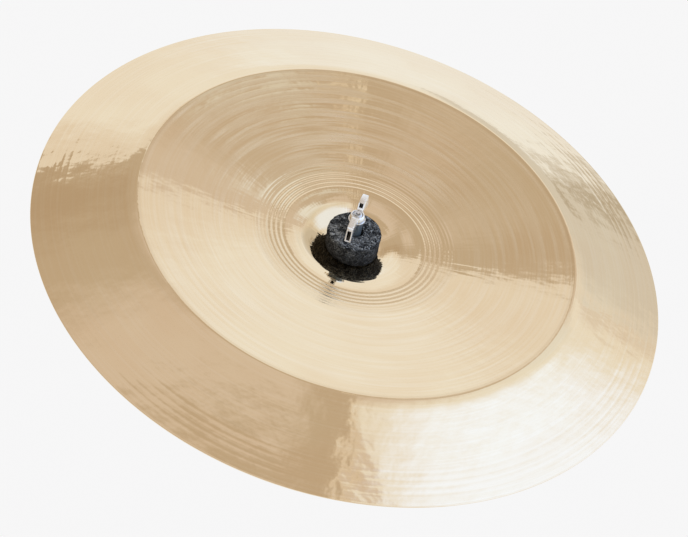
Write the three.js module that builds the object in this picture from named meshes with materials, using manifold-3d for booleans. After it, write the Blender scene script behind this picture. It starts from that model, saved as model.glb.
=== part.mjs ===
// A china cymbal, turned bell-down on the threaded rod of its stand, as an assembly of its pieces.
// Millimetres. +Z runs up the rod, and the origin is the centre of the rod's lower end face.
// The cymbal hangs a few degrees off square to the rod, towards +X, as a loosely clamped cymbal does.

import * as THREE from "three";
import { mergeVertices } from "three/addons/utils/BufferGeometryUtils.js";
import Module from "manifold-3d";

const wasm = await Module();
wasm.setup();

// Fits between neighbours, and the faceting of round forms
const SEAT_GAP = 0.3; // between two faces that rest on each other
const THREAD_GAP = 0.3; // radial, between the rod and what is threaded or slid onto it
const CUT_OVERRUN = 5; // how far a cutting solid runs past what it cuts
const CYMBAL_SIDES = 72;
const ROUND_SIDES = 36;

// Cymbal, sizes square to its own axis
const CYMBAL_DIAMETER = 406.4;
const CYMBAL_HOLE_DIAMETER = 12;
const BELL_CROWN_DIAMETER = 38; // the bell: a nearly flat crown, a cone, a shoulder and a land
const BELL_CONE_DIAMETER = 62;
const BELL_SHOULDER_DIAMETER = 82;
const BELL_DIAMETER = 114;
const BELL_CROWN_DEG = 4; // how steeply each of them rises outward
const BELL_CONE_DEG = 26.5;
const BELL_SHOULDER_DEG = 12.5;
const BELL_LAND_DEG = 4.5;
const BEND_DIAMETER = 282;
const BOW_RISE = 15.6;
const FLANGE_DROP = 17.7;
const BELL_WALL = 1.2;
const BEND_WALL = 1;
const RIM_WALL = 0.8;
const BELL_CORNER_BLEND = 4; // half the width over which one slope of the bell runs into the next
const BELL_EDGE_BLEND = 3; // half the width over which the land runs into the bow
const BEND_BLEND = 1; // half the width of the rounded bend
const FLANGE_FOOT_WIDTH = 4; // beside the bend, where the flange falls more gently
const FLANGE_FOOT_DEG = 11;
const FLANGE_FOOT_BLEND = 3; // half the width over which its foot runs into the flange
const BELL_RING_COUNT = 4;
const BELL_RING_PITCH = 3.1;
const BELL_RING_DEPTH = 0.15;
const BELL_RING_OVERHANG = 1; // how far the ring grooves run out over the bow
const RIM_RING_COUNT = 4;
const RIM_RING_PITCH = 4;
const RIM_RING_DEPTH = 0.06;
const RIM_RING_MARGIN = 5; // plain metal between the last rim groove and the edge
const HANG_DEG = 6;

// Threaded rod of the stand, size M6
const ROD_DIAMETER = 6;
const ROD_END_CHAMFER = 0.7;
const ROD_STUB = 10; // below the seat nut, screwed into the stand
const ROD_PROUD = 0.6; // above the wing nut's hub

// Hexagon nut that the cup washer sits on
const SEAT_NUT_FLATS = 10;
const SEAT_NUT_HEIGHT = 5;
const SEAT_NUT_CHAMFER = 0.7;

// Pressed cup washer: a flat annulus with a sunk centre and a turned-up lip
const CUP_FELT_CLEARANCE = 2.3; // from the felt's side to the outside of the cup's lip
const CUP_SHEET = 1.2;
const CUP_SUNK = 1.5;
const CUP_SUNK_CLEARANCE = 0.5; // round the sleeve's foot
const CUP_LIP = 1.5;

// Plastic sleeve round the rod, with a foot that lies in the cup washer
const SLEEVE_DIAMETER = 8.4;
const SLEEVE_FOOT_DIAMETER = 14;
const SLEEVE_FOOT = 1.2;
const SLEEVE_REACH = 26; // from the cymbal's hole up to the sleeve's top

// Felts
const FELT_DIAMETER = 34.4;
const FELT_HOLE_DIAMETER = 10.6;
const FELT_EDGE = 1.1; // rounding of the rims
const LOWER_FELT_HEIGHT = 12.6; // as pressed down under the cymbal's hole
const LOWER_FELT_CROWN = 2.2; // what stands up round the crown, beyond that height
const UPPER_FELT_TOP = 16.3; // above the cymbal's hole
const UPPER_FELT_SINK = 0.4; // how far its underside settles into the bell, below the high side

// Washer held under the wing nut
const NUT_WASHER_DIAMETER = 10.8;
const NUT_WASHER_SHEET = 1;
const NUT_WASHER_EDGE = 0.3;

// Wing nut of folded sheet: a short hub and two wings
const HUB_FOOT_DIAMETER = 10;
const HUB_TOP_DIAMETER = 8.8;
const HUB_HEIGHT = 3.4;
const HUB_EDGE = 0.8;
const WING_WIDTH = 3.8;
const WING_SHEET = 0.75;
const WING_RIB = 0.4; // the seam between the two slots of a wing
const WING_RIB_SETBACK = 1.2; // from the wing's outer end
const WING_INNER_REACH = 4.9; // from the axis, at the hub's top
const WING_INNER_LEAN = 2.4; // how far the inner end leans out as it rises
const WING_SHOULDER_REACH = 17.1;
const WING_TIP_REACH = 19;
const WING_RISE = 3.9; // above the hub's top, at the inner corner
const WING_SHOULDER_RISE = 3.4;
const WING_DROP = 8; // below the hub's top, at the tip
const WING_ROOT_DROP = 3.2; // below the hub's top, where the lower edge meets the hub
const WING_CORNER = 2.6; // rounding of the upper outer corner
const WING_TIP_CORNER = 1.2; // rounding of the lower outer corner
const WING_INNER_CORNER = 1.4;
const WING_SLOT_DEPTH = 6.5;
const WING_INNER_SLOT_DEPTH = 2; // beyond the leaning end
const WINGS_DEG = 80; // bearing of the wings, from +X

// Radii and heights along the rod
const rodRadius = ROD_DIAMETER / 2;
const boreRadius = rodRadius + THREAD_GAP;
const cymbalRadius = CYMBAL_DIAMETER / 2;
const cymbalHoleRadius = CYMBAL_HOLE_DIAMETER / 2;
const crownRadius = BELL_CROWN_DIAMETER / 2;
const coneRadius = BELL_CONE_DIAMETER / 2;
const shoulderRadius = BELL_SHOULDER_DIAMETER / 2;
const bellRadius = BELL_DIAMETER / 2;
const bendRadius = BEND_DIAMETER / 2;
const footRadius = bendRadius + FLANGE_FOOT_WIDTH;
const seatNutTop = ROD_STUB + SEAT_NUT_HEIGHT;
const cupBottom = seatNutTop + SEAT_GAP;
const cupSeat = cupBottom + CUP_SUNK + CUP_SHEET;
const sleeveBottom = cupBottom + CUP_SHEET + SEAT_GAP;
const lowerFeltBottom = cupSeat + SEAT_GAP;
const holeHeight = lowerFeltBottom + LOWER_FELT_HEIGHT + SEAT_GAP + BELL_WALL / 2;
const sleeveTop = holeHeight + SLEEVE_REACH;
const nutWasherBottom = sleeveTop + SEAT_GAP;
const hubBottom = nutWasherBottom + NUT_WASHER_SHEET + SEAT_GAP;
const hubTop = hubBottom + HUB_HEIGHT;
const rodTop = hubTop + ROD_PROUD;
const hang = THREE.MathUtils.degToRad(HANG_DEG);

// Solids and meshes

function solidOf(geometry) {
  const bare = geometry.index ? geometry.toNonIndexed() : geometry.clone();
  bare.deleteAttribute("normal");
  bare.deleteAttribute("uv");
  const merged = mergeVertices(bare, 1e-4);
  return new wasm.Manifold(
    new wasm.Mesh({
      numProp: 3,
      vertProperties: merged.attributes.position.array,
      triVerts: new Uint32Array(merged.index.array),
    }),
  );
}

function geometryOf(solid) {
  const mesh = solid.getMesh();
  const geometry = new THREE.BufferGeometry();
  geometry.setAttribute("position", new THREE.BufferAttribute(mesh.vertProperties, 3));
  geometry.setIndex(new THREE.BufferAttribute(mesh.triVerts, 1));
  return geometry;
}

// Turns a closed outline of [radius, height] points about +Z. The outline runs anticlockwise.
function turned(outline, sides = ROUND_SIDES) {
  const loop = [...outline, outline[0]].map(([radius, height]) => new THREE.Vector2(radius, height));
  return new THREE.LatheGeometry(loop, sides).rotateX(Math.PI / 2);
}

// Points of a quarter turn about a centre, between two bearings in quarter turns, ends included
function corner(centreRadius, centreHeight, radius, fromQuarter, steps = 3) {
  return Array.from({ length: steps + 1 }, (_, i) => {
    const angle = ((fromQuarter + i / steps) * Math.PI) / 2;
    return [centreRadius + radius * Math.cos(angle), centreHeight + radius * Math.sin(angle)];
  });
}

// Outline of a ring of rectangular section whose four edges may be rounded
function ringOutline(inner, outer, bottom, top, outerEdge = 0, innerEdge = 0) {
  const rounded = (radius, height, edge, quarter) =>
    edge ? corner(radius, height, edge, quarter) : [[radius, height]];
  return [
    ...rounded(outer - outerEdge, bottom + outerEdge, outerEdge, 3),
    ...rounded(outer - outerEdge, top - outerEdge, outerEdge, 0),
    ...rounded(inner + innerEdge, top - innerEdge, innerEdge, 1),
    ...rounded(inner + innerEdge, bottom + innerEdge, innerEdge, 2),
  ];
}

// Cymbal

// Corners of the wall's section: radius, half the width it is rounded over, and the slope outside it
const steepness = (degrees) => Math.tan(THREE.MathUtils.degToRad(degrees));
const footDrop = FLANGE_FOOT_WIDTH * steepness(FLANGE_FOOT_DEG);
const sectionCorners = [
  [cymbalHoleRadius, cymbalHoleRadius, steepness(BELL_CROWN_DEG)],
  [crownRadius, BELL_CORNER_BLEND, steepness(BELL_CONE_DEG)],
  [coneRadius, BELL_CORNER_BLEND, steepness(BELL_SHOULDER_DEG)],
  [shoulderRadius, BELL_CORNER_BLEND, steepness(BELL_LAND_DEG)],
  [bellRadius, BELL_EDGE_BLEND, BOW_RISE / (bendRadius - bellRadius)],
  [bendRadius, BEND_BLEND, -steepness(FLANGE_FOOT_DEG)],
  [footRadius, FLANGE_FOOT_BLEND, (footDrop - FLANGE_DROP) / (cymbalRadius - footRadius)],
];

// How far a radius lies beyond a corner, counted evenly faster across the width it is rounded over
function beyondCorner(radius, at, half) {
  if (radius <= at - half) return 0;
  if (radius >= at + half) return radius - at;
  return (radius - at + half) ** 2 / (4 * half);
}

// Height of the wall's middle above the bell's pole: each corner adds its change of slope
function middleHeight(radius) {
  let height = 0;
  let slopeInside = 0;
  for (const [at, half, slope] of sectionCorners) {
    height += (slope - slopeInside) * beyondCorner(radius, at, half);
    slopeInside = slope;
  }
  return height;
}

// The wall thins in even steps from the bell to the bend and from the bend to the rim
function wallAt(radius) {
  const { mapLinear } = THREE.MathUtils;
  if (radius <= bellRadius) return BELL_WALL;
  if (radius <= bendRadius) return mapLinear(radius, bellRadius, bendRadius, BELL_WALL, BEND_WALL);
  return mapLinear(radius, bendRadius, cymbalRadius, BEND_WALL, RIM_WALL);
}

const bellRingsEnd = bellRadius + BELL_RING_OVERHANG;
const bellRingsStart = bellRingsEnd - BELL_RING_COUNT * BELL_RING_PITCH;
const rimRingsEnd = cymbalRadius - RIM_RING_MARGIN;
const rimRingsStart = rimRingsEnd - RIM_RING_COUNT * RIM_RING_PITCH;

// Depth of the turned ring grooves in the face that shows: four round the bell, four at the rim
function ringDepth(radius) {
  const groove = (start, end, pitch, depth) => {
    if (radius <= start || radius >= end) return 0;
    return (depth / 2) * (1 - Math.cos((2 * Math.PI * (radius - start)) / pitch));
  };
  return (
    groove(bellRingsStart, bellRingsEnd, BELL_RING_PITCH, BELL_RING_DEPTH) +
    groove(rimRingsStart, rimRingsEnd, RIM_RING_PITCH, RIM_RING_DEPTH)
  );
}

const upperFace = (radius) => [radius, middleHeight(radius) + wallAt(radius) / 2 - ringDepth(radius)];
const lowerFace = (radius) => [radius, middleHeight(radius) - wallAt(radius) / 2];

function evenSteps(from, to, steps) {
  return Array.from({ length: steps }, (_, i) => from + ((to - from) * i) / steps);
}

function cymbal() {
  const edgeRadius = cymbalRadius - RIM_WALL / 2;
  const crownIn = crownRadius - BELL_CORNER_BLEND;
  const crownOut = crownRadius + BELL_CORNER_BLEND;
  const coneIn = coneRadius - BELL_CORNER_BLEND;
  const coneOut = coneRadius + BELL_CORNER_BLEND;
  const shoulderIn = shoulderRadius - BELL_CORNER_BLEND;
  const shoulderOut = shoulderRadius + BELL_CORNER_BLEND;
  const bellIn = bellRadius - BELL_EDGE_BLEND;
  const bellOut = bellRadius + BELL_EDGE_BLEND;
  const bendIn = bendRadius - BEND_BLEND;
  const bendOut = bendRadius + BEND_BLEND;
  const footOut = footRadius + FLANGE_FOOT_BLEND;
  const upperRadii = [
    cymbalHoleRadius,
    ...evenSteps(crownIn, crownOut, 3),
    crownOut,
    ...evenSteps(coneIn, coneOut, 2),
    coneOut,
    ...evenSteps(shoulderIn, bellRingsStart, 2),
    ...evenSteps(bellRingsStart, bellRingsEnd, 2 * BELL_RING_COUNT),
    bellRingsEnd,
    ...evenSteps(bellOut, bendIn, 2),
    ...evenSteps(bendIn, bendOut, 2),
    ...evenSteps(bendOut, footOut, 2),
    ...evenSteps(footOut, rimRingsStart, 2),
    ...evenSteps(rimRingsStart, rimRingsEnd, 2 * RIM_RING_COUNT),
    rimRingsEnd,
    edgeRadius,
  ];
  const lowerRadii = [
    cymbalHoleRadius,
    ...evenSteps(crownIn, crownOut, 2),
    crownOut,
    ...evenSteps(coneIn, coneOut, 2),
    coneOut,
    ...evenSteps(shoulderIn, shoulderOut, 2),
    shoulderOut,
    ...evenSteps(bellIn, bellOut, 2),
    bellOut,
    ...evenSteps(bendIn, bendOut, 2),
    ...evenSteps(bendOut, footOut, 2),
    footOut,
    edgeRadius,
  ];
  const rim = [cymbalRadius, middleHeight(edgeRadius)];
  return turned([...lowerRadii.map(lowerFace), rim, ...upperRadii.map(upperFace).reverse()], CYMBAL_SIDES);
}

// A solid that fills the space on one side of the hanging bell, to press its shape into a felt
function bellSpace(face, offset, farHeight) {
  const reach = FELT_DIAMETER / 2 + CUT_OVERRUN;
  const surface = evenSteps(0, reach, 8)
    .concat(reach)
    .map((radius) => [radius, middleHeight(radius) + face * (BELL_WALL / 2 + offset)]);
  const outline =
    face > 0
      ? [[0, farHeight], [reach, farHeight], ...surface.reverse()]
      : [...surface, [reach, farHeight], [0, farHeight]];
  return solidOf(turned(outline).rotateY(hang).translate(0, 0, holeHeight));
}

// Felts: discs with rounded rims, whose face at the cymbal takes the shape of the hanging bell

function feltDisc(bottom, top) {
  const inner = FELT_HOLE_DIAMETER / 2;
  return solidOf(turned(ringOutline(inner, FELT_DIAMETER / 2, bottom, top, FELT_EDGE, FELT_EDGE)));
}

function lowerFelt() {
  const top = holeHeight - BELL_WALL / 2 - SEAT_GAP + LOWER_FELT_CROWN;
  const above = bellSpace(-1, SEAT_GAP, LOWER_FELT_HEIGHT + CUT_OVERRUN);
  return geometryOf(feltDisc(lowerFeltBottom, top).subtract(above));
}

function upperFelt() {
  const highSide = (FELT_DIAMETER / 2) * Math.sin(hang) + middleHeight(FELT_DIAMETER / 2);
  const bottom = holeHeight + BELL_WALL / 2 + SEAT_GAP + highSide / 2 - UPPER_FELT_SINK;
  const below = bellSpace(1, SEAT_GAP, -(LOWER_FELT_HEIGHT + CUT_OVERRUN));
  return geometryOf(feltDisc(bottom, holeHeight + UPPER_FELT_TOP).subtract(below));
}

// Rod and the plain turned pieces on it

function rod() {
  const tip = rodRadius - ROD_END_CHAMFER;
  return turned([
    [0, 0],
    [tip, 0],
    [rodRadius, ROD_END_CHAMFER],
    [rodRadius, rodTop - ROD_END_CHAMFER],
    [tip, rodTop],
    [0, rodTop],
  ]);
}

function seatNut() {
  const flat = SEAT_NUT_FLATS / 2;
  const pointRadius = flat / Math.cos(Math.PI / 6);
  const hexagon = new THREE.Shape(
    Array.from({ length: 6 }, (_, i) => {
      const angle = (i * Math.PI) / 3;
      return new THREE.Vector2(pointRadius * Math.cos(angle), pointRadius * Math.sin(angle));
    }),
  );
  const prism = new THREE.ExtrudeGeometry(hexagon, { depth: SEAT_NUT_HEIGHT, bevelEnabled: false });
  const chamfered = turned([
    [0, ROD_STUB],
    [flat, ROD_STUB],
    [pointRadius, ROD_STUB + SEAT_NUT_CHAMFER],
    [pointRadius, seatNutTop - SEAT_NUT_CHAMFER],
    [flat, seatNutTop],
    [0, seatNutTop],
  ]);
  const nut = solidOf(prism.translate(0, 0, ROD_STUB)).intersect(solidOf(chamfered));
  return geometryOf(nut.subtract(bore()));
}

// The hole for the rod, through everything that is threaded or slid onto it
function bore() {
  return solidOf(
    turned([
      [0, -CUT_OVERRUN],
      [boreRadius, -CUT_OVERRUN],
      [boreRadius, rodTop + WING_RISE + CUT_OVERRUN],
      [0, rodTop + WING_RISE + CUT_OVERRUN],
    ]),
  );
}

function cupWasher() {
  const outer = FELT_DIAMETER / 2 + CUP_FELT_CLEARANCE;
  const sunk = SLEEVE_FOOT_DIAMETER / 2 + CUP_SUNK_CLEARANCE;
  const seatUnder = cupBottom + CUP_SUNK;
  const lipIn = outer - CUP_LIP;
  return turned([
    [boreRadius, cupBottom],
    [sunk + CUP_SHEET, cupBottom],
    [sunk + CUP_SHEET + CUP_SUNK, seatUnder],
    [lipIn, seatUnder],
    [outer, seatUnder + CUP_LIP],
    [outer, seatUnder + CUP_LIP + CUP_SHEET],
    [outer - CUP_SHEET, seatUnder + CUP_LIP + CUP_SHEET],
    [lipIn - CUP_SHEET / 2, cupSeat],
    [sunk + CUP_SUNK, cupSeat],
    [sunk, cupBottom + CUP_SHEET],
    [boreRadius, cupBottom + CUP_SHEET],
  ]);
}

function sleeve() {
  const outer = SLEEVE_DIAMETER / 2;
  const footTop = sleeveBottom + SLEEVE_FOOT;
  return turned([
    [boreRadius, sleeveBottom],
    [SLEEVE_FOOT_DIAMETER / 2, sleeveBottom],
    [SLEEVE_FOOT_DIAMETER / 2, footTop],
    [outer, footTop],
    [outer, sleeveTop],
    [boreRadius, sleeveTop],
  ]);
}

function nutWasher() {
  const top = nutWasherBottom + NUT_WASHER_SHEET;
  return turned(ringOutline(boreRadius, NUT_WASHER_DIAMETER / 2, nutWasherBottom, top, NUT_WASHER_EDGE));
}

// Wing nut

// Extrudes an outline of [reach, height above the hub's top] points across a wing, centred on it
function acrossWing(shape, width, offset = 0) {
  return new THREE.ExtrudeGeometry(shape, { depth: width, bevelEnabled: false, curveSegments: 5 })
    .rotateX(Math.PI / 2)
    .translate(0, width / 2 + offset, hubTop);
}

// Height of a wing's lower edge at a reach
function wingUnderside(reach) {
  const share = (reach - WING_INNER_REACH) / (WING_TIP_REACH - WING_INNER_REACH);
  return -WING_ROOT_DROP - share * (WING_DROP - WING_ROOT_DROP);
}

function wingShape() {
  const rootReach = boreRadius + THREAD_GAP;
  const tipIn = WING_TIP_REACH - WING_TIP_CORNER;
  const innerTop = WING_INNER_REACH + WING_INNER_LEAN;
  const lean = (WING_INNER_CORNER * WING_INNER_LEAN) / (WING_RISE + HUB_EDGE);
  return new THREE.Shape()
    .moveTo(rootReach, -WING_ROOT_DROP)
    .lineTo(WING_INNER_REACH, -WING_ROOT_DROP)
    .lineTo(tipIn, wingUnderside(tipIn))
    .quadraticCurveTo(WING_TIP_REACH, -WING_DROP, WING_TIP_REACH, -WING_DROP + WING_TIP_CORNER)
    .lineTo(WING_SHOULDER_REACH, WING_SHOULDER_RISE - WING_CORNER)
    .quadraticCurveTo(
      WING_SHOULDER_REACH,
      WING_SHOULDER_RISE,
      WING_SHOULDER_REACH - WING_CORNER,
      WING_SHOULDER_RISE,
    )
    .lineTo(innerTop + WING_INNER_CORNER, WING_RISE)
    .quadraticCurveTo(innerTop, WING_RISE, innerTop - lean, WING_RISE - WING_INNER_CORNER)
    .lineTo(WING_INNER_REACH, -HUB_EDGE)
    .lineTo(rootReach, -HUB_EDGE);
}

// What is open in a wing's outer end, from a reach at its roof and one at its floor outwards: one
// sheet of metal is left above it and one below it
function wingOpening(roofReach, floorReach, width, offset = 0) {
  const roof = WING_SHOULDER_RISE - WING_SHEET - WING_CORNER;
  const outside = Math.max(WING_TIP_REACH, WING_SHOULDER_REACH) + CUT_OVERRUN;
  const shape = new THREE.Shape()
    .moveTo(roofReach, roof)
    .lineTo(floorReach, wingUnderside(floorReach) + WING_SHEET)
    .lineTo(outside, wingUnderside(outside) + WING_SHEET)
    .lineTo(outside, roof);
  return acrossWing(shape, width, offset);
}

// Two slots open at the wing's outer end, and two at its inner end above the hub, between the
// folded sheets and the seam that joins them. The seam stands back from the outer end.
function wingSlots() {
  const slotWidth = (WING_WIDTH - 2 * WING_SHEET - WING_RIB) / 2;
  const offset = (WING_RIB + slotWidth) / 2;
  const roof = WING_SHOULDER_RISE - WING_SHEET;
  const deep = WING_SHOULDER_REACH - WING_SLOT_DEPTH;
  const innerDepth = WING_INNER_REACH + WING_INNER_LEAN + WING_INNER_SLOT_DEPTH;
  const inner = new THREE.Shape()
    .moveTo(WING_INNER_REACH - CUT_OVERRUN, WING_SHEET)
    .lineTo(innerDepth, WING_SHEET)
    .lineTo(innerDepth, roof)
    .lineTo(WING_INNER_REACH - CUT_OVERRUN, roof);
  const cuts = [offset, -offset].flatMap((side) => [
    wingOpening(deep, deep, slotWidth, side),
    acrossWing(inner, slotWidth, side),
  ]);
  const roofReach = WING_SHOULDER_REACH - WING_RIB_SETBACK;
  const floorReach = WING_TIP_REACH - WING_RIB_SETBACK;
  return [...cuts, wingOpening(roofReach, floorReach, WING_WIDTH - 2 * WING_SHEET)].map(solidOf);
}

function wing() {
  const whole = solidOf(acrossWing(wingShape(), WING_WIDTH));
  return wingSlots().reduce((body, slot) => body.subtract(slot), whole);
}

function wingNut() {
  const top = HUB_TOP_DIAMETER / 2;
  const hub = solidOf(
    turned([
      [0, hubBottom],
      [HUB_FOOT_DIAMETER / 2, hubBottom],
      ...corner(top - HUB_EDGE, hubTop - HUB_EDGE, HUB_EDGE, 0),
      [0, hubTop],
    ]),
  );
  const bothWings = wing().add(wing().rotate([0, 0, 180]));
  return geometryOf(hub.add(bothWings).subtract(bore()).rotate([0, 0, WINGS_DEG]));
}

// Finishes
function finish(color, roughness, metalness) {
  return new THREE.MeshStandardMaterial({ color, roughness, metalness });
}

const bronze = finish(0xe0c696, 0.16, 1);
const chrome = finish(0xd8dadd, 0.12, 1);
const zincPlate = finish(0xb9bcc0, 0.3, 1);
const greyFelt = finish(0x3a3d42, 0.95, 0);
const blackPlastic = finish(0x17191d, 0.45, 0);

// Assembly
const assembly = new THREE.Group();

function place(name, geometry, material, parent = assembly) {
  const mesh = new THREE.Mesh(geometry, material);
  mesh.name = name;
  parent.add(mesh);
}

const hangingCymbal = new THREE.Group();
hangingCymbal.position.z = holeHeight;
hangingCymbal.rotation.y = hang;
assembly.add(hangingCymbal);

place("rod", rod(), zincPlate);
place("seat_nut", seatNut(), zincPlate);
place("cup_washer", cupWasher(), chrome);
place("sleeve", sleeve(), blackPlastic);
place("lower_felt", lowerFelt(), greyFelt);
place("cymbal", cymbal(), bronze, hangingCymbal);
place("upper_felt", upperFelt(), greyFelt);
place("nut_washer", nutWasher(), chrome);
place("wing_nut", wingNut(), chrome);

export default assembly;
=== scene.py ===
import bmesh
import bpy
import numpy as np
from mathutils import Matrix, Vector


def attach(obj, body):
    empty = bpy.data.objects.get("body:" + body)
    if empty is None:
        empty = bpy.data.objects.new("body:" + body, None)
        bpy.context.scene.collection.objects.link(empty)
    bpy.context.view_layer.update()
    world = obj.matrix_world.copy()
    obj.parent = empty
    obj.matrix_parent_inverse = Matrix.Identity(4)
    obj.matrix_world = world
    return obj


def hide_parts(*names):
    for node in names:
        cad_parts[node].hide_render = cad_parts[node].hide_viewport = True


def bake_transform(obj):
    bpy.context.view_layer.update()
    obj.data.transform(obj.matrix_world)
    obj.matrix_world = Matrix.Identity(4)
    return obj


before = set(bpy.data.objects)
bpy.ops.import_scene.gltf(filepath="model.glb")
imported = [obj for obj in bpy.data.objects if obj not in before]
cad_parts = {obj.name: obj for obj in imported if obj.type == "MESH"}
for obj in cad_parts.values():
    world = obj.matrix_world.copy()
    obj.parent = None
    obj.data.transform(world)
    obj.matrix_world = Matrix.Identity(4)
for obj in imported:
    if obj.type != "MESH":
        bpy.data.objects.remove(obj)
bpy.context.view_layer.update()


# ---- Camera ----
# The cymbal is seen from above and in front, through a portrait lens, with the camera rolled a
# little. The picture is 688 dots wide and 537 high.

CAMERA_PLACE = Vector((-0.0029, -0.7715, 0.7927))
CAMERA_LOOK = Vector((0.0008, 0.7034, -0.7108)).normalized()
CAMERA_UP = Vector((-0.19, 0.6979, 0.6905))
SENSOR_WIDTH = 36
LENS_IN_DOTS = 1700
PICTURE_WIDTH = 688

eye = bpy.data.cameras.new("portrait_lens")
eye.sensor_width = SENSOR_WIDTH
eye.lens = SENSOR_WIDTH * LENS_IN_DOTS / PICTURE_WIDTH
eye.clip_start, eye.clip_end = 0.01, 100
camera = bpy.data.objects.new("camera", eye)
bpy.context.scene.collection.objects.link(camera)
rightward = CAMERA_LOOK.cross(CAMERA_UP).normalized()
turn = Matrix((rightward, rightward.cross(CAMERA_LOOK), -CAMERA_LOOK)).transposed()
camera.matrix_world = Matrix.Translation(CAMERA_PLACE) @ turn.to_4x4()
bpy.context.scene.camera = camera
bpy.context.scene.view_settings.view_transform = "Standard"


# ---- Studio ----
# What the polished metal mirrors, as a plan of what is overhead, across and back, each as a share
# of the height: white paper all round, a warm ceiling over the cymbal, and a wide lamp screen on
# the right. The camera itself sees only paper behind the cymbal.

PAPER = (0.939, 0.939, 0.939, 1)
PAPER_NEAR = (0.87, 0.82, 0.77, 1)
PAPER_HIGH = (0.97, 1.02, 1.10, 1)
PAPER_WHITENS = (1.3, 1.75)  # a pair that isn't a place says from where to where an edge is soft
PAPER_RISES = (3.0, 6.0)
CEILING = (0.59, 0.495, 0.395, 1)
CEILING_ENDS = 0.98  # how far back it reaches
CEILING_FLARES = 0.31  # how much farther it reaches to both sides of its middle
CEILING_MIDDLE = 0.05
CEILING_SLANTS = 0.10  # how much farther still it reaches on the right
CEILING_BENT = (-0.68, -0.60, -0.12, 0.06), (-0.4, -0.2)  # by -0.12 rising to 0.06, and back
CEILING_BLUR = (-0.015, 0.015)
CEILING_PINK = (0.73, 0.64, 0.57, 1)
STRIP_FRONT, STRIP_BACK, STRIP_RIGHT = (0.09, 0.18), (0.4, 0.68), (0.1, 0.2)
RIGHT_HALF = (0.245, 0.285)
RIGHT_HALF_STEPS = ((-1, 0.53, 0.58), (0.3, 0.6, 0.65), (0.6, 0.85, 1.1))  # change, from, to
PINK_PLACE, PINK_REACH = (-0.17, 0.74), 0.24
CEILING_DARK = (0.53, 0.425, 0.32, 1)
DARK_PLACE, DARK_REACH = (-0.6, 0.92), 0.35
CEILING_GREY = (0.76, 0.735, 0.695, 1)
STREAK_PLACE, STREAK_SLANT = (0.29, 0.69), 2.8
STREAK_ASIDE = (-0.045, -0.03), (0.01, 0.045)
STREAK_BACK = (0.62, 0.66), (0.83, 0.97)
FRAME = (0.92, 0.84, 0.73, 1)
FRAME_PLACES = ((0.231, 0.6), (0.268, 0.14))
BAR_HALF_WIDTH = (0.00216, 0.01152)
BAR_HALF_LENGTH = (0.12, 0.2)
WALL_RIGHT = (0.74, 0.73, 0.72, 1)
WALL_STARTS = (0.6, 1.0)
WALL_BACK = (1.0, 2.1), (5.4, 7.2)
STAND = (0.53, 0.48, 0.41, 1)
STAND_STARTS = (1.95, 2.2)
STAND_BACK = (3.0, 4.5), (4.75, 5.3)
SIDE_PAPER_STARTS, SIDE_PAPER_ENDS = (0.8, 1.0), (1.2, 1.6)
SIDE_WALL = (0.87, 0.89, 0.91, 1)
SIDE_WALL_STARTS, SIDE_WALL_ENDS = (0.46, 0.56), (1.0, 1.15)
SCREEN = (1.06, 1.26, 1.70, 1)
SCREEN_STARTS, SCREEN_ENDS = (0.27, 0.47), (0.0, 0.4)
SCREEN_SLANT = 0.95
SCREEN_SIDE = (0.92, 0.92, 0.90, 1)
SCREEN_SIDE_STARTS, SCREEN_SIDE_ENDS = (0.25, 0.31), (-0.12, 0.1)
SCREEN_CUT_BACK, SCREEN_CUT_SLANT = 0.14, 1.8  # its side is cut away in front of this
FLOOR_HEIGHT = -1.1
FLOOR_REACH = 20
FLOOR_SHADE = (0.12, 0.12, 0.12, 1)
FLOOR_GLOW = (0.835, 0.835, 0.835, 1)


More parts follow.
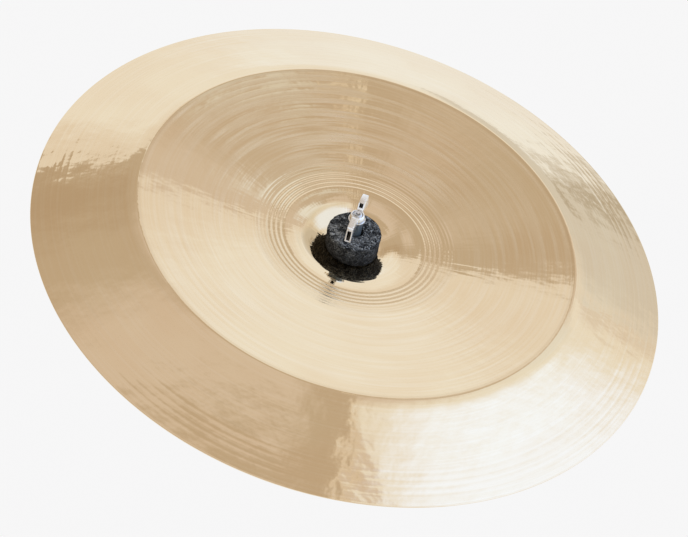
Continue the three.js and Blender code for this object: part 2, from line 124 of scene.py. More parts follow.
class Wire:
    """A socket in a node tree. Arithmetic on wires adds Math nodes, and node() adds any other."""

    def __init__(self, tree, socket=None):
        self.tree = tree
        self.socket = socket

    def node(self, kind, settings=(), sockets=(), out=0):
        made = self.tree.nodes.new(kind)
        for name, value in dict(settings).items():
            setattr(made, name, value)
        for name, value in dict(sockets).items():
            if isinstance(value, Wire):
                self.tree.links.new(value.socket, made.inputs[name])
            else:
                made.inputs[name].default_value = value
        return Wire(self.tree, made.outputs[out] if len(made.outputs) else None)

    def math(self, operation, *values):
        return self.node("ShaderNodeMath", {"operation": operation}, enumerate(values))

    def __add__(self, other):
        return self.math("ADD", self, other)

    def __sub__(self, other):
        return self.math("SUBTRACT", self, other)

    def __rsub__(self, other):
        return self.math("SUBTRACT", other, self)

    def __mul__(self, other):
        return self.math("MULTIPLY", self, other)

    def __truediv__(self, other):
        return self.math("DIVIDE", self, other)

    __radd__ = __add__
    __rmul__ = __mul__

    def between(self, low, high, bottom=0.0, top=1.0):
        """Rises smoothly from bottom to top as the value goes from low to high."""
        settings = {"interpolation_type": "SMOOTHSTEP"}
        return self.node("ShaderNodeMapRange", settings, enumerate((self, low, high, bottom, top)))

    def within(self, opens, closes):
        """Rises from 0 to 1 over the first pair of values and falls back over the second."""
        return self.between(*opens) * (1 - self.between(*closes))

    def away(self, place):
        """How far the value is from a place, to either side."""
        return self.math("ABSOLUTE", self - place)

    def tint(self, low, high):
        """The colour low where the value is 0, and high where it is 1."""
        return self.node("ShaderNodeMix", {"data_type": "RGBA"}, {0: self, 6: low, 7: high}, out=2)

    def split(self):
        """The three parts of a vector."""
        return [self.node("ShaderNodeSeparateXYZ", (), {0: self}, out=i) for i in range(3)]

    def mottle(self, size, detail=2.0, roughness=0.5, stretch=(1, 1, 1), warp=0.0):
        """Cloudy noise from 0 to 1 over the object's own place, in clouds of that size in metres."""
        place = self.node("ShaderNodeTexCoord", out=3)
        place = self.node("ShaderNodeMapping", (), {"Vector": place, "Scale": stretch})
        sockets = {"Vector": place, "Scale": 1 / size, "Detail": detail, "Roughness": roughness}
        return self.node("ShaderNodeTexNoise", (), {**sockets, "Distortion": warp})

    def bump(self, millimetres):
        """The surface's normal where it stands that many millimetres proud."""
        sockets = {"Height": millimetres, "Distance": 0.001, "Strength": 1.0}
        return self.node("ShaderNodeBump", (), sockets)


world = bpy.data.worlds.new("studio")
world.use_nodes = True
world.node_tree.nodes.clear()
sky = Wire(world.node_tree)
to_right, to_back, to_top = sky.node("ShaderNodeTexCoord").split()
rise = to_top.math("MAXIMUM", to_top, 0.02)
across = to_right / rise
back = to_back.away(0) / rise


def near(place, reach):
    """1 at a place in the plan of what is overhead, and 0 beyond its reach."""
    aside, behind = across - place[0], back - place[1]
    return 1 - sky.math("SQRT", aside * aside + behind * behind).between(0, reach)


# The ceiling is pinker in a slanting strip, in its right half and round a place on the left,
# browner round a place farther left and greyer in a streak, and a frame's bars cross it
strip = (back + 0.25 * across).between(*STRIP_FRONT)
strip = strip * (1 - (back - 0.3 * across).between(*STRIP_BACK)) * (1 - across.between(*STRIP_RIGHT))
right_half = 1 + sum(change * back.between(start, end) for change, start, end in RIGHT_HALF_STEPS)
right_half = across.between(*RIGHT_HALF) * right_half
pink = strip.math("MAXIMUM", strip, right_half)
pink = pink.math("MAXIMUM", pink, near(PINK_PLACE, PINK_REACH))
ceiling = pink.tint(CEILING, CEILING_PINK)
ceiling = near(DARK_PLACE, DARK_REACH).tint(ceiling, CEILING_DARK)
aside = across - STREAK_PLACE[0] - (back - STREAK_PLACE[1]) / STREAK_SLANT
streak = aside.within(*STREAK_ASIDE) * back.within(*STREAK_BACK)
ceiling = streak.tint(ceiling, CEILING_GREY)
for place, depth in FRAME_PLACES:
    bar = 1 - across.away(place).between(*BAR_HALF_WIDTH)
    bar = bar * (1 - back.away(depth).between(*BAR_HALF_LENGTH))
    ceiling = bar.tint(ceiling, FRAME)

# Behind the ceiling the paper whitens as it rises, past a grey wall and a stand on the right
paper_wall = back.between(*PAPER_WHITENS).tint(PAPER_NEAR, PAPER)
paper_wall = back.between(*PAPER_RISES).tint(paper_wall, PAPER_HIGH)
walled = across.between(*WALL_STARTS) * back.within(*WALL_BACK)
paper_wall = walled.tint(paper_wall, WALL_RIGHT)
standing = across.between(*STAND_STARTS) * back.within(*STAND_BACK)
paper_wall = standing.tint(paper_wall, STAND)

# The ceiling's far edge swings back to both sides, and is bent on the left
flare = across.math("POWER", across.away(CEILING_MIDDLE), 0.5) * CEILING_FLARES
slant = across.math("MAXIMUM", across, 0) * CEILING_SLANTS
past = back - flare - across.within(*CEILING_BENT) - slant - CEILING_ENDS
overhead = past.between(*CEILING_BLUR).tint(ceiling, paper_wall)

# On the right stand paper, a bluish side wall, and the lamp screen with the side of its box
side_paper = across.between(*SIDE_PAPER_STARTS) * (1 - back.between(*SIDE_PAPER_ENDS))
beside = side_paper.tint(overhead, PAPER)
side_wall = across.between(*SIDE_WALL_STARTS) * (1 - back.between(*SIDE_WALL_ENDS))
beside = side_wall.tint(beside, SIDE_WALL)
slanting = SCREEN_SLANT * across - back
cut = (SCREEN_CUT_BACK - back).math("MAXIMUM", SCREEN_CUT_BACK - back, 0)
edge = across - SCREEN_CUT_SLANT * cut
screen_side = edge.between(*SCREEN_SIDE_STARTS) * slanting.between(*SCREEN_SIDE_ENDS)
beside = screen_side.tint(beside, SCREEN_SIDE)
lit = across.between(*SCREEN_STARTS) * slanting.between(*SCREEN_ENDS)
seen_by_camera = sky.node("ShaderNodeLightPath")
colour = seen_by_camera.tint(lit.tint(beside, SCREEN), PAPER)
glow = sky.node("ShaderNodeBackground", (), {"Color": colour})
sky.node("ShaderNodeOutputWorld", (), {"Surface": glow})
bpy.context.scene.world = world


def lattice(rows, columns, closed):
    """Faces between the neighbours of a grid of points: rows run anticlockwise round a section,
    and join up if it is closed, and columns run once round the axis."""
    row = np.arange(rows if closed else rows - 1)[:, None]
    column = np.arange(columns)[None, :]
    next_row, next_column = (row + 1) % rows, (column + 1) % columns
    corners = (row, column), (row, next_column), (next_row, next_column), (next_row, column)
    faces = [np.broadcast_to(r * columns + c, (row.size, columns)) for r, c in corners]
    return np.stack(faces, -1).reshape(-1, 4)


def shaped(name, points, faces, material, crease=0.7):
    """An object at the origin with those points and faces, doubled points merged, shaded smooth
    but for edges that turn more than the crease, in radians."""
    mesh = bpy.data.meshes.new(name)
    mesh.from_pydata(np.reshape(points, (-1, 3)).tolist(), [], np.asarray(faces).tolist())
    form = bmesh.new()
    form.from_mesh(mesh)
    bmesh.ops.remove_doubles(form, verts=form.verts, dist=1e-7)
    form.to_mesh(mesh)
    form.free()
    mesh.shade_smooth()
    mesh.set_sharp_from_angle(angle=crease)
    mesh.materials.append(material)
    made = bpy.data.objects.new(name, mesh)
    bpy.context.scene.collection.objects.link(made)
    return made


def painted(name, uniform, varied):
    """A material: the shader's uniform values by socket name, then what varies over the surface,
    from a function that is given the node tree's first wire."""
    material = bpy.data.materials.new(name)
    material.use_nodes = True
    shader = material.node_tree.nodes["Principled BSDF"]
    for socket, value in uniform.items():
        shader.inputs[socket].default_value = value
    for socket, wire in varied(Wire(material.node_tree)).items():
        material.node_tree.links.new(wire.socket, shader.inputs[socket])
    return material


paper = bpy.data.materials.new("floor_paper")
paper.use_nodes = True
paper.node_tree.nodes.clear()
first = Wire(paper.node_tree)
camera_ray = first.node("ShaderNodeLightPath", out=0)
glossy_ray = first.node("ShaderNodeLightPath", out=3)
see_through_ray = first.node("ShaderNodeLightPath", out=6)
cloud = first.mottle(0.5)
shade = first.node("ShaderNodeBsdfDiffuse", (), {"Color": cloud.tint(FLOOR_SHADE, FLOOR_SHADE)})
shine = first.node("ShaderNodeEmission", (), {"Color": FLOOR_GLOW})
lit_shade = first.node("ShaderNodeAddShader", (), {0: shade, 1: shine})
looked_at = camera_ray.math("MAXIMUM", camera_ray, glossy_ray)
looked_at = looked_at.math("MAXIMUM", looked_at, see_through_ray)
sheet = first.node("ShaderNodeMixShader", (), {0: looked_at, 1: shade, 2: lit_shade})
first.node("ShaderNodeOutputMaterial", (), {"Surface": sheet})
corners = np.array([(-1, -1, 0), (1, -1, 0), (1, 1, 0), (-1, 1, 0)]) * FLOOR_REACH
floor = shaped("floor", corners + (0, 0, FLOOR_HEIGHT), [(0, 1, 2, 3)], paper)


# ---- Threaded rod ----
# The end of the cymbal stand: an M6 rod of bright zinc-plated steel, its thread rolled from end to
# end and both ends chamfered. Its upper end is speckled and half matt where it was cut off. It
# screws into the stand below and carries everything else.

ROD_RADIUS = 0.003
ROD_TOP = 0.0634
ROD_CHAMFER = 0.0007
ROD_DIMPLE = (0.0009, 0.0006)  # radius and depth of the lathe centre's mark in its upper end
THREAD_PITCH = 0.001
THREAD_DEPTH = 0.0006
ZINC = (0.80, 0.82, 0.85, 1)
ZINC_DULL = (0.60, 0.62, 0.64, 1)
ZINC_GRIT = (0.10, 0.10, 0.10, 1)
CUT_END = (0.063, 0.0632)  # heights between which the side ends and the cut end begins


def around(radius, bearing, height):
    """Points at those distances from the rod's axis, bearings about it and heights."""
    x, y = radius * np.cos(bearing), radius * np.sin(bearing)
    return np.stack(np.broadcast_arrays(x, y, height), -1)


def threaded_rod(sides=32, rows_a_turn=10):
    """At each height and bearing the radius is the rod's own less the depth of a valley that
    climbs one pitch a turn, and nowhere more than the cones of its two ends. The upper end is sunk
    to a cone in its middle."""
    height = np.linspace(0, ROD_TOP, int(ROD_TOP / THREAD_PITCH * rows_a_turn))[:, None]
    bearing = np.linspace(0, 2 * np.pi, sides, endpoint=False)[None, :]
    place = (height / THREAD_PITCH - bearing / (2 * np.pi)) % 1
    valley = np.clip(1.15 - 2.5 * np.abs(place - 0.5), 0, 1)
    cone = ROD_RADIUS - ROD_CHAMFER + np.minimum(height, ROD_TOP - height)
    radius = np.minimum(ROD_RADIUS - THREAD_DEPTH * valley, cone)
    wide, deep = ROD_DIMPLE
    radius = np.vstack([0 * bearing, radius, wide + 0 * bearing, 0 * bearing])
    height = np.vstack([[0], height, [ROD_TOP], [ROD_TOP - deep]])
    return around(radius, bearing, height)


def zinc(first):
    cloud = first.mottle(0.004, detail=4.0)
    on_end = first.node("ShaderNodeTexCoord", out=3).split()[2].between(*CUT_END)
    grit = on_end * first.mottle(0.0016, detail=2.0).between(0.54, 0.62)
    return {
        "Base Color": grit.tint(cloud.between(0.35, 0.7).tint(ZINC, ZINC_DULL), ZINC_GRIT),
        "Metallic": 1 - 0.6 * on_end,
        "Roughness": cloud.between(0.3, 0.8, 0.22, 0.4),
        "Normal": first.bump(0.02 * first.mottle(0.0006)),
    }


zinc_plate = painted("bright_zinc", {"Specular IOR Level": 0.5}, zinc)
grid = threaded_rod()
rod = shaped("threaded_rod", grid, lattice(*grid.shape[:2], closed=False), zinc_plate)
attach(rod, "rod")
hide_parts("rod")


# ---- Seat nut ----
# A 10 mm hexagon nut of zinc-plated steel, screwed down the rod until it locks against the stand.
# Its corners are turned off at 30 degrees on both faces, and the bore is countersunk.

NUT_FLATS = 0.010
NUT_BOTTOM = 0.010
NUT_TOP = 0.015
NUT_CHAMFER = 0.0007
NUT_BORE = 0.0033
NUT_SINK = 0.0004


def hexagon_nut(sides=96):
    """At each bearing the side stands at half the flats' width over the cosine of the angle from
    the nearest flat's middle, and nowhere beyond the cones that turn its corners off."""
    half = NUT_FLATS / 2
    point = half / np.cos(np.pi / 6)
    bearing = np.linspace(0, 2 * np.pi, sides, endpoint=False)[None, :]
    flat = half / np.cos((bearing + 1e-9) % (np.pi / 3) - np.pi / 6)
    rise = np.array([0, 0.08, 0.25, 0.5, 0.75, 1])[:, None] * NUT_CHAMFER
    height = np.vstack([NUT_BOTTOM + rise, NUT_TOP - rise[::-1]])
    cone = half + np.minimum(height - NUT_BOTTOM, NUT_TOP - height) * (point - half) / NUT_CHAMFER
    side = np.minimum(flat, cone)
    sink = NUT_BORE + np.array([NUT_SINK, 0, 0, NUT_SINK])[:, None] + 0 * bearing
    sink_height = np.array([NUT_TOP, NUT_TOP - NUT_SINK, NUT_BOTTOM + NUT_SINK, NUT_BOTTOM])[:, None]
    radius, height = np.vstack([side, sink]), np.vstack([height, sink_height])
    return around(radius, bearing, height)


grid = hexagon_nut()
seat_nut = shaped("hexagon_nut", grid, lattice(*grid.shape[:2], closed=True), zinc_plate, crease=0.3)
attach(seat_nut, "rod")
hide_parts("seat_nut")


# ---- Cup washer ----
# A washer pressed from 1.2 mm steel and chromed: its centre is sunk for the sleeve's foot, and its
# rim turned up to keep the lower felt in place. It turns freely on the nut.

CUP_RADIUS = 0.0195
CUP_BOTTOM = 0.0153
CUP_SHEET = 0.0012
CUP_SUNK = 0.0015
CUP_SUNK_RADIUS = 0.0075
CUP_LIP = 0.0015
CHROME = (0.80, 0.81, 0.82, 1)
CHROME_WORN = (0.62, 0.63, 0.64, 1)


def turned(outline, sides=96, steps=4):
    """Turns a closed outline of (radius, height, rounding) corners about the rod: each corner is
    eased by a parabola that starts and ends that far from it along its two edges."""
    place, rounding = np.array(outline)[:, :2], np.array(outline)[:, 2:]
    before, after = np.roll(place, 1, axis=0) - place, np.roll(place, -1, axis=0) - place
    before /= np.linalg.norm(before, axis=1, keepdims=True)
    after /= np.linalg.norm(after, axis=1, keepdims=True)
    share = np.linspace(0, 1, steps + 1)[None, :, None]
    start, finish = place + before * rounding, place + after * rounding
    curve = (1 - share) ** 2 * start[:, None] + 2 * share * (1 - share) * place[:, None]
    radius, height = (curve + share**2 * finish[:, None]).reshape(-1, 2).T[:, :, None]
    bearing = np.linspace(0, 2 * np.pi, sides, endpoint=False)[None, :]
    return around(radius, bearing, height)


def plated(first):
    cloud = first.mottle(0.006, detail=3.0)
    speck = first.mottle(0.0007, detail=2.0)
    return {
        "Base Color": speck.between(0.62, 0.75).tint(CHROME, CHROME_WORN),
        "Roughness": cloud.between(0.3, 0.75, 0.07, 0.16),
        "Normal": first.bump(0.012 * cloud + 0.002 * speck),
    }


chrome_plate = painted("bright_chrome", {"Metallic": 1.0}, plated)
cup_seat = CUP_BOTTOM + CUP_SUNK
grid = turned(
    [
        (NUT_BORE, CUP_BOTTOM, 0.0002),
        (CUP_SUNK_RADIUS + CUP_SHEET, CUP_BOTTOM, 0.0008),
        (CUP_SUNK_RADIUS + CUP_SHEET + CUP_SUNK, cup_seat, 0.0008),
        (CUP_RADIUS - CUP_LIP, cup_seat, 0.0008),
        (CUP_RADIUS, cup_seat + CUP_LIP, 0.0007),
        (CUP_RADIUS, cup_seat + CUP_LIP + CUP_SHEET, 0.0003),
        (CUP_RADIUS - CUP_SHEET, cup_seat + CUP_LIP + CUP_SHEET, 0.0003),
        (CUP_RADIUS - CUP_LIP - CUP_SHEET / 2, cup_seat + CUP_SHEET, 0.0006),
        (CUP_SUNK_RADIUS + CUP_SUNK, cup_seat + CUP_SHEET, 0.0006),
        (CUP_SUNK_RADIUS, CUP_BOTTOM + CUP_SHEET, 0.0006),
        (NUT_BORE, CUP_BOTTOM + CUP_SHEET, 0.0002),
    ]
)
cup_washer = shaped("pressed_cup_washer", grid, lattice(*grid.shape[:2], closed=True), chrome_plate)
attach(cup_washer, "cup_washer")
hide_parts("cup_washer")


# ---- Sleeve ----
# A tube of black nylon that keeps the bronze off the steel thread. Its foot lies in the cup washer,
# and its moulded top, a little rounded, stands out of the upper felt.

SLEEVE_BOTTOM = 0.0168
SLEEVE_FOOT_TOP = 0.018
SLEEVE_TOP = 0.0578
SLEEVE_RADIUS = 0.0042
SLEEVE_FOOT_RADIUS = 0.007
NYLON = (0.07, 0.09, 0.105, 1)
NYLON_SCUFFED = (0.13, 0.155, 0.175, 1)


def moulded(first):
    scuff = first.mottle(0.003, detail=5.0, roughness=0.65, stretch=(1, 1, 0.3))
    return {
        "Base Color": scuff.between(0.45, 0.75).tint(NYLON, NYLON_SCUFFED),
        "Roughness": scuff.between(0.3, 0.7, 0.32, 0.5),
        "Normal": first.bump(0.03 * first.mottle(0.0006, detail=3.0)),
    }


nylon = painted("black_nylon", {"Specular IOR Level": 0.5}, moulded)
grid = turned(
    [
        (NUT_BORE, SLEEVE_BOTTOM, 0.0001),
        (SLEEVE_FOOT_RADIUS, SLEEVE_BOTTOM, 0.0003),
        (SLEEVE_FOOT_RADIUS, SLEEVE_FOOT_TOP, 0.0003),
        (SLEEVE_RADIUS, SLEEVE_FOOT_TOP, 0.0003),
        (SLEEVE_RADIUS, SLEEVE_TOP, 0.0003),
        (NUT_BORE, SLEEVE_TOP, 0.0002),
    ]
)
sleeve = shaped("nylon_sleeve", grid, lattice(*grid.shape[:2], closed=True), nylon)
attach(sleeve, "rod")
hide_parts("sleeve")


# ---- Cymbal ----
# A 16 inch china of cast bronze, hammered, lathed and buffed to a brilliant finish. Its bell has a
# nearly flat crown, a cone, a shoulder and a land with turned grooves, the bow keeps rising, and
# the flange falls back from a crisp bend to the rim.

CYMBAL_RADIUS = 0.2032
HOLE_RADIUS = 0.006
HOLE_HEIGHT = 0.0318
HANG = np.radians(6)
BELL_RADIUS = 0.057
BEND_RADIUS = 0.141
BOW_RISE = 0.0156
BOW_SLOPE = BOW_RISE / (BEND_RADIUS - BELL_RADIUS)
FOOT_SLOPE = -np.tan(np.radians(11))
FOOT_WIDTH = 0.004
FLANGE_FALL = 0.0177  # from the bend to the rim
FLANGE_WIDTH = CYMBAL_RADIUS - BEND_RADIUS - FOOT_WIDTH
FLANGE_SLOPE = (-FOOT_WIDTH * FOOT_SLOPE - FLANGE_FALL) / FLANGE_WIDTH
SECTION_CORNERS = [  # radius, half the width it is rounded over, and the slope outside it
    (HOLE_RADIUS, HOLE_RADIUS, np.tan(np.radians(4))),
    (0.019, 0.004, np.tan(np.radians(26.5))),
    (0.031, 0.004, np.tan(np.radians(12.5))),
    (0.041, 0.004, np.tan(np.radians(4.5))),
    (BELL_RADIUS, 0.007, BOW_SLOPE),
    (BEND_RADIUS, 0.0009, FOOT_SLOPE),
    (BEND_RADIUS + FOOT_WIDTH, 0.003, FLANGE_SLOPE),
]
BELL_WALL = 0.0012
BEND_WALL = 0.001
RIM_WALL = 0.0008
BELL_RINGS = (0.0456, 0.058, 0.0031, 0.0031, 0.00017)  # start, end, pitch, width and depth
FINE_RINGS = (0.0583, 0.0653, 0.00233, 0.00233, 0.00004)
RIM_RINGS = (0.1822, 0.1982, 0.004, 0.003, 0.00002)
LOWER_SPANS = [  # how close the rows of points lie, out from the hole: from, to, and how many
    (HOLE_RADIUS, 0.046, 28), (0.046, 0.061, 10), (0.061, 0.139, 6), (0.139, 0.149, 16),
]
UPPER_SPANS = [
    (HOLE_RADIUS, 0.0452, 60), (0.0452, 0.0655, 100), (0.0655, 0.139, 46), (0.139, 0.149, 40),
    (0.149, 0.182, 16), (0.182, 0.1985, 56),
]
CONE_ZONE = (19, 22), (31, 35)  # where zones open and close, in millimetres out from the axis
BELL_ENDS = (44, 47)
RINGED_ZONE = (45, 47), (64, 67)
BOW_ZONE = (59, 64), (138, 141)
CREASE, CREASE_HALF = 139.6, (0.3, 1.4)
FLANGE_STARTS = (142, 150)
RIM_WEAR = (172, 192)
LATHE_ARCS = (90, 2.6)  # how long such marks are at the bend, and how wide, in millimetres
FINE_ARCS = (60, 1.3)
SHEEN_ARCS = (70, 1.4)
HAMMER_STREAKS = (6, 26)
HAMMER_DENT = 0.022
HAMMER_PEEN = 0.009
BRONZE = (0.885, 0.755, 0.545, 1)
BRONZE_RED = (0.86, 0.71, 0.50, 1)
BRONZE_SHEEN = (0.93, 0.85, 0.70, 1)
BRONZE_CONE_SHADE = (0.78, 0.62, 0.40, 1)
BRONZE_CREASE_SHADE = (0.60, 0.46, 0.30, 1)


def wall_middle(radius):
    """Each corner adds its change of slope times how far the radius lies beyond it, which is
    counted evenly faster, from nothing, across the width that the corner is rounded over."""
    height, slope_inside = 0 * radius, 0
    for corner, half, slope in SECTION_CORNERS:
        rounding = np.clip(radius - corner + half, 0, 2 * half) ** 2 / (4 * half)
        height = height + (slope - slope_inside) * (rounding + np.maximum(radius - corner - half, 0))
        slope_inside = slope
    return height


def wall_half(radius):
    """Half the wall, which thins in even steps from the bell to the bend and on to the rim."""
    places = BELL_RADIUS, BEND_RADIUS, CYMBAL_RADIUS
    return np.interp(radius, places, (BELL_WALL, BEND_WALL, RIM_WALL)) / 2


def ring_depth(radius, start, end, pitch, width, depth):
    """Turned grooves between two radii: one raised cosine of that width and depth a pitch."""
    beside = np.abs((radius - start) % pitch - pitch / 2)
    wave = (1 + np.cos(2 * np.pi * np.minimum(beside, width / 2) / width)) * depth / 2
    return np.where((radius > start) & (radius < end), wave, 0)


def tilted(radius, bearing, height):
    """From the cymbal's own axis to the rod's: turned about Y by the hang, up at the hole."""
    x, y = radius * np.cos(bearing), radius * np.sin(bearing)
    lengthways = x * np.cos(HANG) + height * np.sin(HANG)
    upward = HOLE_HEIGHT - x * np.sin(HANG) + height * np.cos(HANG)
    return np.stack(np.broadcast_arrays(lengthways, y, upward), -1)


def cymbal_wall(sides=250):
    """The lower face out from the hole, half a circle round the rim, and the upper face back in,
    each the wall's middle height with half the wall taken off or added."""
    edge = CYMBAL_RADIUS - RIM_WALL / 2
    lower, upper = [
        np.concatenate([np.linspace(a, b, n, endpoint=False) for a, b, n in spans])
        for spans in (LOWER_SPANS + [(0.149, edge, 4)], UPPER_SPANS + [(0.1985, edge, 6)])
    ]
    round_rim = np.linspace(-np.pi / 2, np.pi / 2, 9)
    rim = edge + RIM_WALL / 2 * np.cos(round_rim)
    rim_height = wall_middle(edge) + RIM_WALL / 2 * np.sin(round_rim)
    cut = sum(ring_depth(upper, *rings) for rings in (BELL_RINGS, FINE_RINGS, RIM_RINGS))
    top = wall_middle(upper) + wall_half(upper) - cut
    radius = np.concatenate([lower, rim, upper[::-1]])[:, None]
    height = np.concatenate([wall_middle(lower) - wall_half(lower), rim_height, top[::-1]])[:, None]
    bearing = np.linspace(0, 2 * np.pi, sides, endpoint=False)[None, :]
    return tilted(radius, bearing, height)


def buffed(first):
    place = first.node("ShaderNodeTexCoord", out=3)
    settings = {"vector_type": "TEXTURE"}
    sockets = {"Vector": place, "Location": (0, 0, HOLE_HEIGHT), "Rotation": (0, HANG, 0)}
    own = first.node("ShaderNodeMapping", settings, sockets)
    x, y, _ = own.split()
    reach = first.math("SQRT", x * x + y * y)
    radius = 1000 * reach

    def spun(length, width):
        """Noise in arcs about the cymbal's axis: millimetres round it, at the bend, and outward."""
        turns = 1000 * BEND_RADIUS / length
        parts = {0: turns * x / reach, 1: turns * y / reach, 2: radius / width}
        vector = first.node("ShaderNodeCombineXYZ", (), parts)
        return first.node("ShaderNodeTexNoise", (), {"Vector": vector, "Scale": 1.0, "Detail": 1.0})

    # Relief in millimetres: the lathe's arcs, which fade in patches, and the hammer's two sizes of
    # dents and short streaks
    on_bow = radius.within(*BOW_ZONE)
    on_flange = radius.between(*FLANGE_STARTS)
    in_bell = 1 - radius.between(*BELL_ENDS)
    patchy = first.mottle(0.05, detail=2.0).between(0.3, 0.7, 0.4, 1.0)
    lines = spun(*LATHE_ARCS)
    lathed = lines * patchy * (0.018 + 0.050 * on_bow + 0.12 * in_bell) + 0.008 * spun(*FINE_ARCS)
    dents = (0.16 + 0.18 * on_flange) * first.mottle(HAMMER_DENT, detail=1.0)
    hammered = dents + (0.07 + 0.05 * on_flange) * first.mottle(HAMMER_PEEN, detail=2.0)
    depth = lathed + hammered + 0.04 * spun(*HAMMER_STREAKS)

    # Colour: painted sheen in pale arcs where the lathe scored it, redder in clouds and near the rim,
    # painted shade on the cone's high side and painted shade in the crease inside the bend
    scored = lines.between(0.38, 0.66) * patchy * (0.2 + 0.8 * on_bow + 0.2 * in_bell)
    # Painted sheen: pale arcs where the lathe scored it, and fainter arcs all round.
    sheen_share = 0.35 * scored + 0.15 * spun(*SHEEN_ARCS).between(0.45, 0.65)
    tarnish = first.mottle(0.06, detail=4.0)
    worn = tarnish.between(0.35, 0.75) + 0.6 * radius.between(*RIM_WEAR)
    redness_and_sheen = sheen_share.tint(worn.tint(BRONZE, BRONZE_RED), BRONZE_SHEEN)
    # Painted shade: the cone is painted duller on its high side.
    cone = radius.within(*CONE_ZONE) * (0 - 1000 * x).between(2, 14)
    # Painted shade: a dark line is painted along the crease inside the bend.
    crease = 0.2 * (1 - radius.away(CREASE).between(*CREASE_HALF))

    # Roughness: in clouds, more in the arcs of the back half and on the rings of the front one
    behind = (1000 * y).between(15, 60, 0.12, 1.0)
    ringed = radius.within(*RINGED_ZONE) * (1 - (1000 * y).between(-35, 5, 0.0, 0.85))
    cloudy = tarnish.between(0.3, 0.8, 0.05, 0.09)
    return {
        "Base Color": crease.tint(cone.tint(redness_and_sheen, BRONZE_CONE_SHADE), BRONZE_CREASE_SHADE),
        "Roughness": cloudy + 0.2 * scored * behind + 0.16 * ringed,
        "Normal": first.bump(depth),
    }


bronze = painted("brilliant_bronze", {"Metallic": 1.0}, buffed)
grid = cymbal_wall()
cymbal = shaped("china_cymbal", grid, lattice(*grid.shape[:2], closed=True), bronze)
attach(cymbal, "cymbal")
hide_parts("cymbal")


# ---- Felts ----
# Two thick washers of pressed dark grey wool, one under the bell and one in it. Their faces at the
# bronze take its shape, the cut sides are fuzzy, and a soft ridge runs round under the top edge.

FELT_RADIUS = 0.0172
FELT_HOLE_RADIUS = 0.0056
FELT_EDGE = 0.0014
FELT_GAP = 0.0003
LOWER_FELT_BOTTOM = 0.0183
UPPER_FELT_TOP = 0.0481
WOOL = (0.007, 0.009, 0.011, 1)
WOOL_SHADED = (0.001, 0.001, 0.001, 1)
WOOL_PALE = (0.42, 0.455, 0.48, 1)
WOOL_SHEEN = {
    "Roughness": 0.95, "Specular IOR Level": 0.1, "Sheen Weight": 0.05, "Sheen Roughness": 0.6,
}
LUMPS = ((0.00016, 0.0045), (0.00008, 0.0013))  # how high they are, and how long
SIDE_SETBACK = 0.00015  # keeps the lumps inside the felt's radius
RIDGE = (0.0002, 0.0022)  # how far it stands out, and how far below the top edge it runs
HAIRS = [  # size, how it is squeezed along each axis, and how far it is warped
    (0.0034, (1, 1, 2), 0.8), (0.0043, (1.6, 1, 1), 1.2), (0.0054, (1, 1.5, 2), 0.9),
]
PAINTED_LIGHT_TOP = (0.0466, 0.0477)  # heights over which the upper felt comes out into the light


def bell_face(x, y, face):
    """Height above the rod's end of a face of the hanging bell, with a gap, over a point beside
    the rod: the height along the tilted axis is stepped towards the face's own until they agree."""
    own = 0 * x
    for _ in range(8):
        along = x * np.cos(HANG) - (own - x * np.sin(HANG)) / np.cos(HANG) * np.sin(HANG)
        reach = np.hypot(along, y)
        own = wall_middle(reach) + face * (wall_half(reach) + FELT_GAP)
    return HOLE_HEIGHT + (own - x * np.sin(HANG)) / np.cos(HANG)


def wavy(x, y, z, size, seed):
    """A sum of forty cosine waves of about that length, in directions and phases drawn from the
    seed, scaled to run from about -1 to 1."""
    draw = np.random.default_rng(seed)
    direction = draw.normal(size=(40, 3))
    turns = 2 * np.pi / size / draw.uniform(0.7, 1.6, 40) / np.linalg.norm(direction, axis=1)
    direction *= turns[:, None]
    phase = draw.uniform(0, 2 * np.pi, 40)
    total = sum(np.cos(x * d[0] + y * d[1] + z * d[2] + p) for d, p in zip(direction, phase))
    return total / 8


def felt_washer(low, high, seed, sides=220):
    """A ring of rounded section: height runs as a share from the low face to the high one, and
    every point is moved by the wool's lumps, outward at the side and up or down on the faces."""
    edge = np.linspace(0, np.pi / 2, 8)
    rise = np.linspace(0, 1, 26)[1:-1]
    out_below = FELT_RADIUS - FELT_EDGE * (1 - np.sin(edge))
    out_above = FELT_RADIUS - FELT_EDGE * (1 - np.cos(edge))
    up_below, up_above = FELT_EDGE * (1 - np.cos(edge)), FELT_EDGE * (np.sin(edge) - 1)
    out = np.concatenate([out_below, FELT_RADIUS + 0 * rise, out_above])
    up = np.concatenate([up_below, 0 * rise, up_above])
    share = np.concatenate([0 * edge, rise, 0 * edge + 1])
    inner = np.linspace(FELT_RADIUS - FELT_EDGE, FELT_HOLE_RADIUS, 26)[1:]
    hole = np.linspace(1, 0, 8)[1:-1]
    radius = np.concatenate([out, inner, FELT_HOLE_RADIUS + 0 * hole, inner[::-1]])[:, None]
    share = np.concatenate([share, 1 + 0 * inner, hole, 0 * inner])[:, None]
    up = np.concatenate([up, 0 * inner, 0 * hole, 0 * inner])[:, None]
    bearing = np.linspace(0, 2 * np.pi, sides, endpoint=False)[None, :]
    x, y = radius * np.cos(bearing), radius * np.sin(bearing)
    bottom, top = low(x, y), high(x, y)
    z = bottom + share * (top - bottom) + up
    lumps = sum(tall * wavy(x, y, z, long, seed + i) for i, (tall, long) in enumerate(LUMPS))
    at_side = (radius > FELT_RADIUS - FELT_EDGE) & (share > 0)
    proud, below_top = RIDGE
    ridge = proud * np.exp(-(((top - z) / below_top - 1) ** 2) * 4) * at_side
    outermost = radius > FELT_RADIUS - 0.5 * FELT_EDGE
    radius = radius + np.where(outermost, lumps + ridge - SIDE_SETBACK, 0)
    z = z + np.where((share == 1) & (high is flat_top), lumps, 0)
    return around(radius, bearing, z)


def flat_top(x, y):
    return UPPER_FELT_TOP + 0 * x


def flat_bottom(x, y):
    return LOWER_FELT_BOTTOM + 0 * x


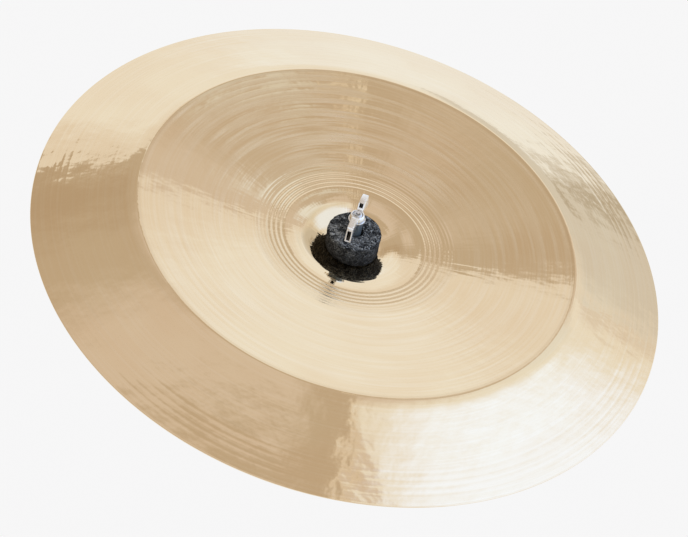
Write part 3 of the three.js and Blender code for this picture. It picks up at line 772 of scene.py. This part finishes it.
def woolly(first):
    cloud = first.mottle(0.005, detail=3.0, roughness=0.6)
    hairs = 0
    for size, stretch, warp in HAIRS:
        loops = first.mottle(size, detail=1.0, stretch=stretch, warp=warp)
        hairs = loops.away(0.5).between(0.0, 0.05, 1.0, 0.0) * (0.2 + 1.1 * cloud) + hairs
    height = first.node("ShaderNodeTexCoord", out=3).split()[2]
    # Painted shade and light: the wool is painted darker near the bronze and lighter at the upper
    # felt's top, where light falls from above.
    from_bronze = height.away(HOLE_HEIGHT)
    painted_light_and_shade = from_bronze.between(0.002, 0.014, 0.12, 0.42) + 0.58 * height.between(*PAINTED_LIGHT_TOP)
    grey = (hairs.between(0.2, 1.5) + 0.2 * cloud.between(0.4, 0.65)).tint(WOOL, WOOL_PALE)
    return {
        "Base Color": painted_light_and_shade.tint(WOOL_SHADED, grey),
        "Normal": first.bump(0.3 * hairs + 0.6 * cloud),
    }


felt = painted("grey_wool_felt", WOOL_SHEEN, woolly)
grid = felt_washer(flat_bottom, lambda x, y: bell_face(x, y, -1), seed=3)
lower_felt = shaped("wool_felt_under_bell", grid, lattice(*grid.shape[:2], closed=True), felt, crease=3)
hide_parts("lower_felt")
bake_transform(lower_felt)

grid = felt_washer(lambda x, y: bell_face(x, y, 1), flat_top, seed=8)
upper_felt = shaped("wool_felt_in_bell", grid, lattice(*grid.shape[:2], closed=True), felt, crease=3)
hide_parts("upper_felt")
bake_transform(upper_felt)


# ---- Washer under the wing nut ----
# A small chromed steel washer that the hub turns on, held to it so that both come off together.

NUT_WASHER_RADIUS = 0.0054
NUT_WASHER_BOTTOM = 0.0581
NUT_WASHER_TOP = 0.0591
NICKEL = (0.90, 0.93, 0.97, 1)
NICKEL_WORN = (0.70, 0.72, 0.75, 1)


def tumbled(first):
    speck = first.mottle(0.0009, detail=3.0)
    return {
        "Base Color": speck.between(0.58, 0.75).tint(NICKEL, NICKEL_WORN),
        "Roughness": speck.between(0.3, 0.7, 0.2, 0.34),
        "Normal": first.bump(0.02 * speck + 0.03 * first.mottle(0.004)),
    }


nickel_plate = painted("bright_nickel", {"Metallic": 1.0}, tumbled)
grid = turned(
    [
        (NUT_BORE, NUT_WASHER_BOTTOM, 0.0001),
        (NUT_WASHER_RADIUS, NUT_WASHER_BOTTOM, 0.0003),
        (NUT_WASHER_RADIUS, NUT_WASHER_TOP, 0.0003),
        (NUT_BORE, NUT_WASHER_TOP, 0.0001),
    ]
)
nut_washer = shaped("washer_under_nut", grid, lattice(*grid.shape[:2], closed=True), nickel_plate)
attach(nut_washer, "nut_washer")
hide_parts("nut_washer")


# ---- Wing nut ----
# Folded from chromed sheet round a short threaded hub: each wing is two sheets with a seam between
# them, open at its ends, and every edge is rounded by the press. Shade is painted inside the slots.

WINGS_BEARING = np.radians(80)
SLOT_HALF_WIDTH = 0.00122
OUTER_SLOT = (0.0101, 0.063)  # where it starts, out from the axis, and its roof
OUTER_SLOT_FLOOR = (0.0602, 0.0049, 0.3404)  # its height at a reach, and how much it falls per reach
INNER_SLOT = (0.0093, 0.0633, 0.0659)  # how far out it goes, its floor and its roof
SLOT_EDGE = 0.0001
WING_ENDS = (0.0167, 0.0170)
WING_TIPS = (0.018, 0.0182)
PRESSED_EDGE = 0.00018
PRESSED_ANGLE = 0.6
NICKEL_SHADED = (0.05, 0.045, 0.04, 1)


def folded(first):
    sockets = tumbled(first)
    x, y, z = first.node("ShaderNodeTexCoord", out=3).split()
    reach = (np.cos(WINGS_BEARING) * x + np.sin(WINGS_BEARING) * y).away(0)
    aside = (np.sin(WINGS_BEARING) * x - np.cos(WINGS_BEARING) * y).away(0)
    between_sheets = aside.math("LESS_THAN", aside, SLOT_HALF_WIDTH)
    deep, roof = OUTER_SLOT
    height, from_reach, fall = OUTER_SLOT_FLOOR
    above_floor = z - height + fall * (reach - from_reach)
    outer = reach.within((deep, deep + 3 * SLOT_EDGE), WING_TIPS) * above_floor.between(0, SLOT_EDGE)
    outer = outer * (1 - z.between(roof, roof + SLOT_EDGE))
    deep, floor, roof = INNER_SLOT
    inner = z.within((floor - SLOT_EDGE, floor), (roof, roof + SLOT_EDGE))
    inner = inner * (1 - reach.between(deep, deep + 3 * SLOT_EDGE))
    # Painted shade: the insides of the slots, and the sheet round the inner slots, are painted dark.
    inside = between_sheets * (inner + outer)
    sockets["Base Color"] = inside.tint(sockets["Base Color"], NICKEL_SHADED)
    sockets["Metallic"] = 1 - 0.6 * reach.between(*WING_ENDS)
    return sockets


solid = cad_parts["wing_nut"].data
form = bmesh.new()
form.from_mesh(solid)
bmesh.ops.remove_doubles(form, verts=form.verts, dist=1e-6)
mesh = bpy.data.meshes.new("folded_wing_nut")
form.to_mesh(mesh)
form.free()
mesh.materials.clear()
mesh.materials.append(painted("bright_nickel_folded", {"Specular IOR Level": 0.5}, folded))
mesh.shade_smooth()
wing_nut = bpy.data.objects.new("folded_wing_nut", mesh)
bpy.context.scene.collection.objects.link(wing_nut)
edges = wing_nut.modifiers.new("pressed_edges", "BEVEL")
edges.width = PRESSED_EDGE
edges.segments = 2
edges.angle_limit = PRESSED_ANGLE
edges.harden_normals = True
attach(wing_nut, "wing_nut")
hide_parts("wing_nut")
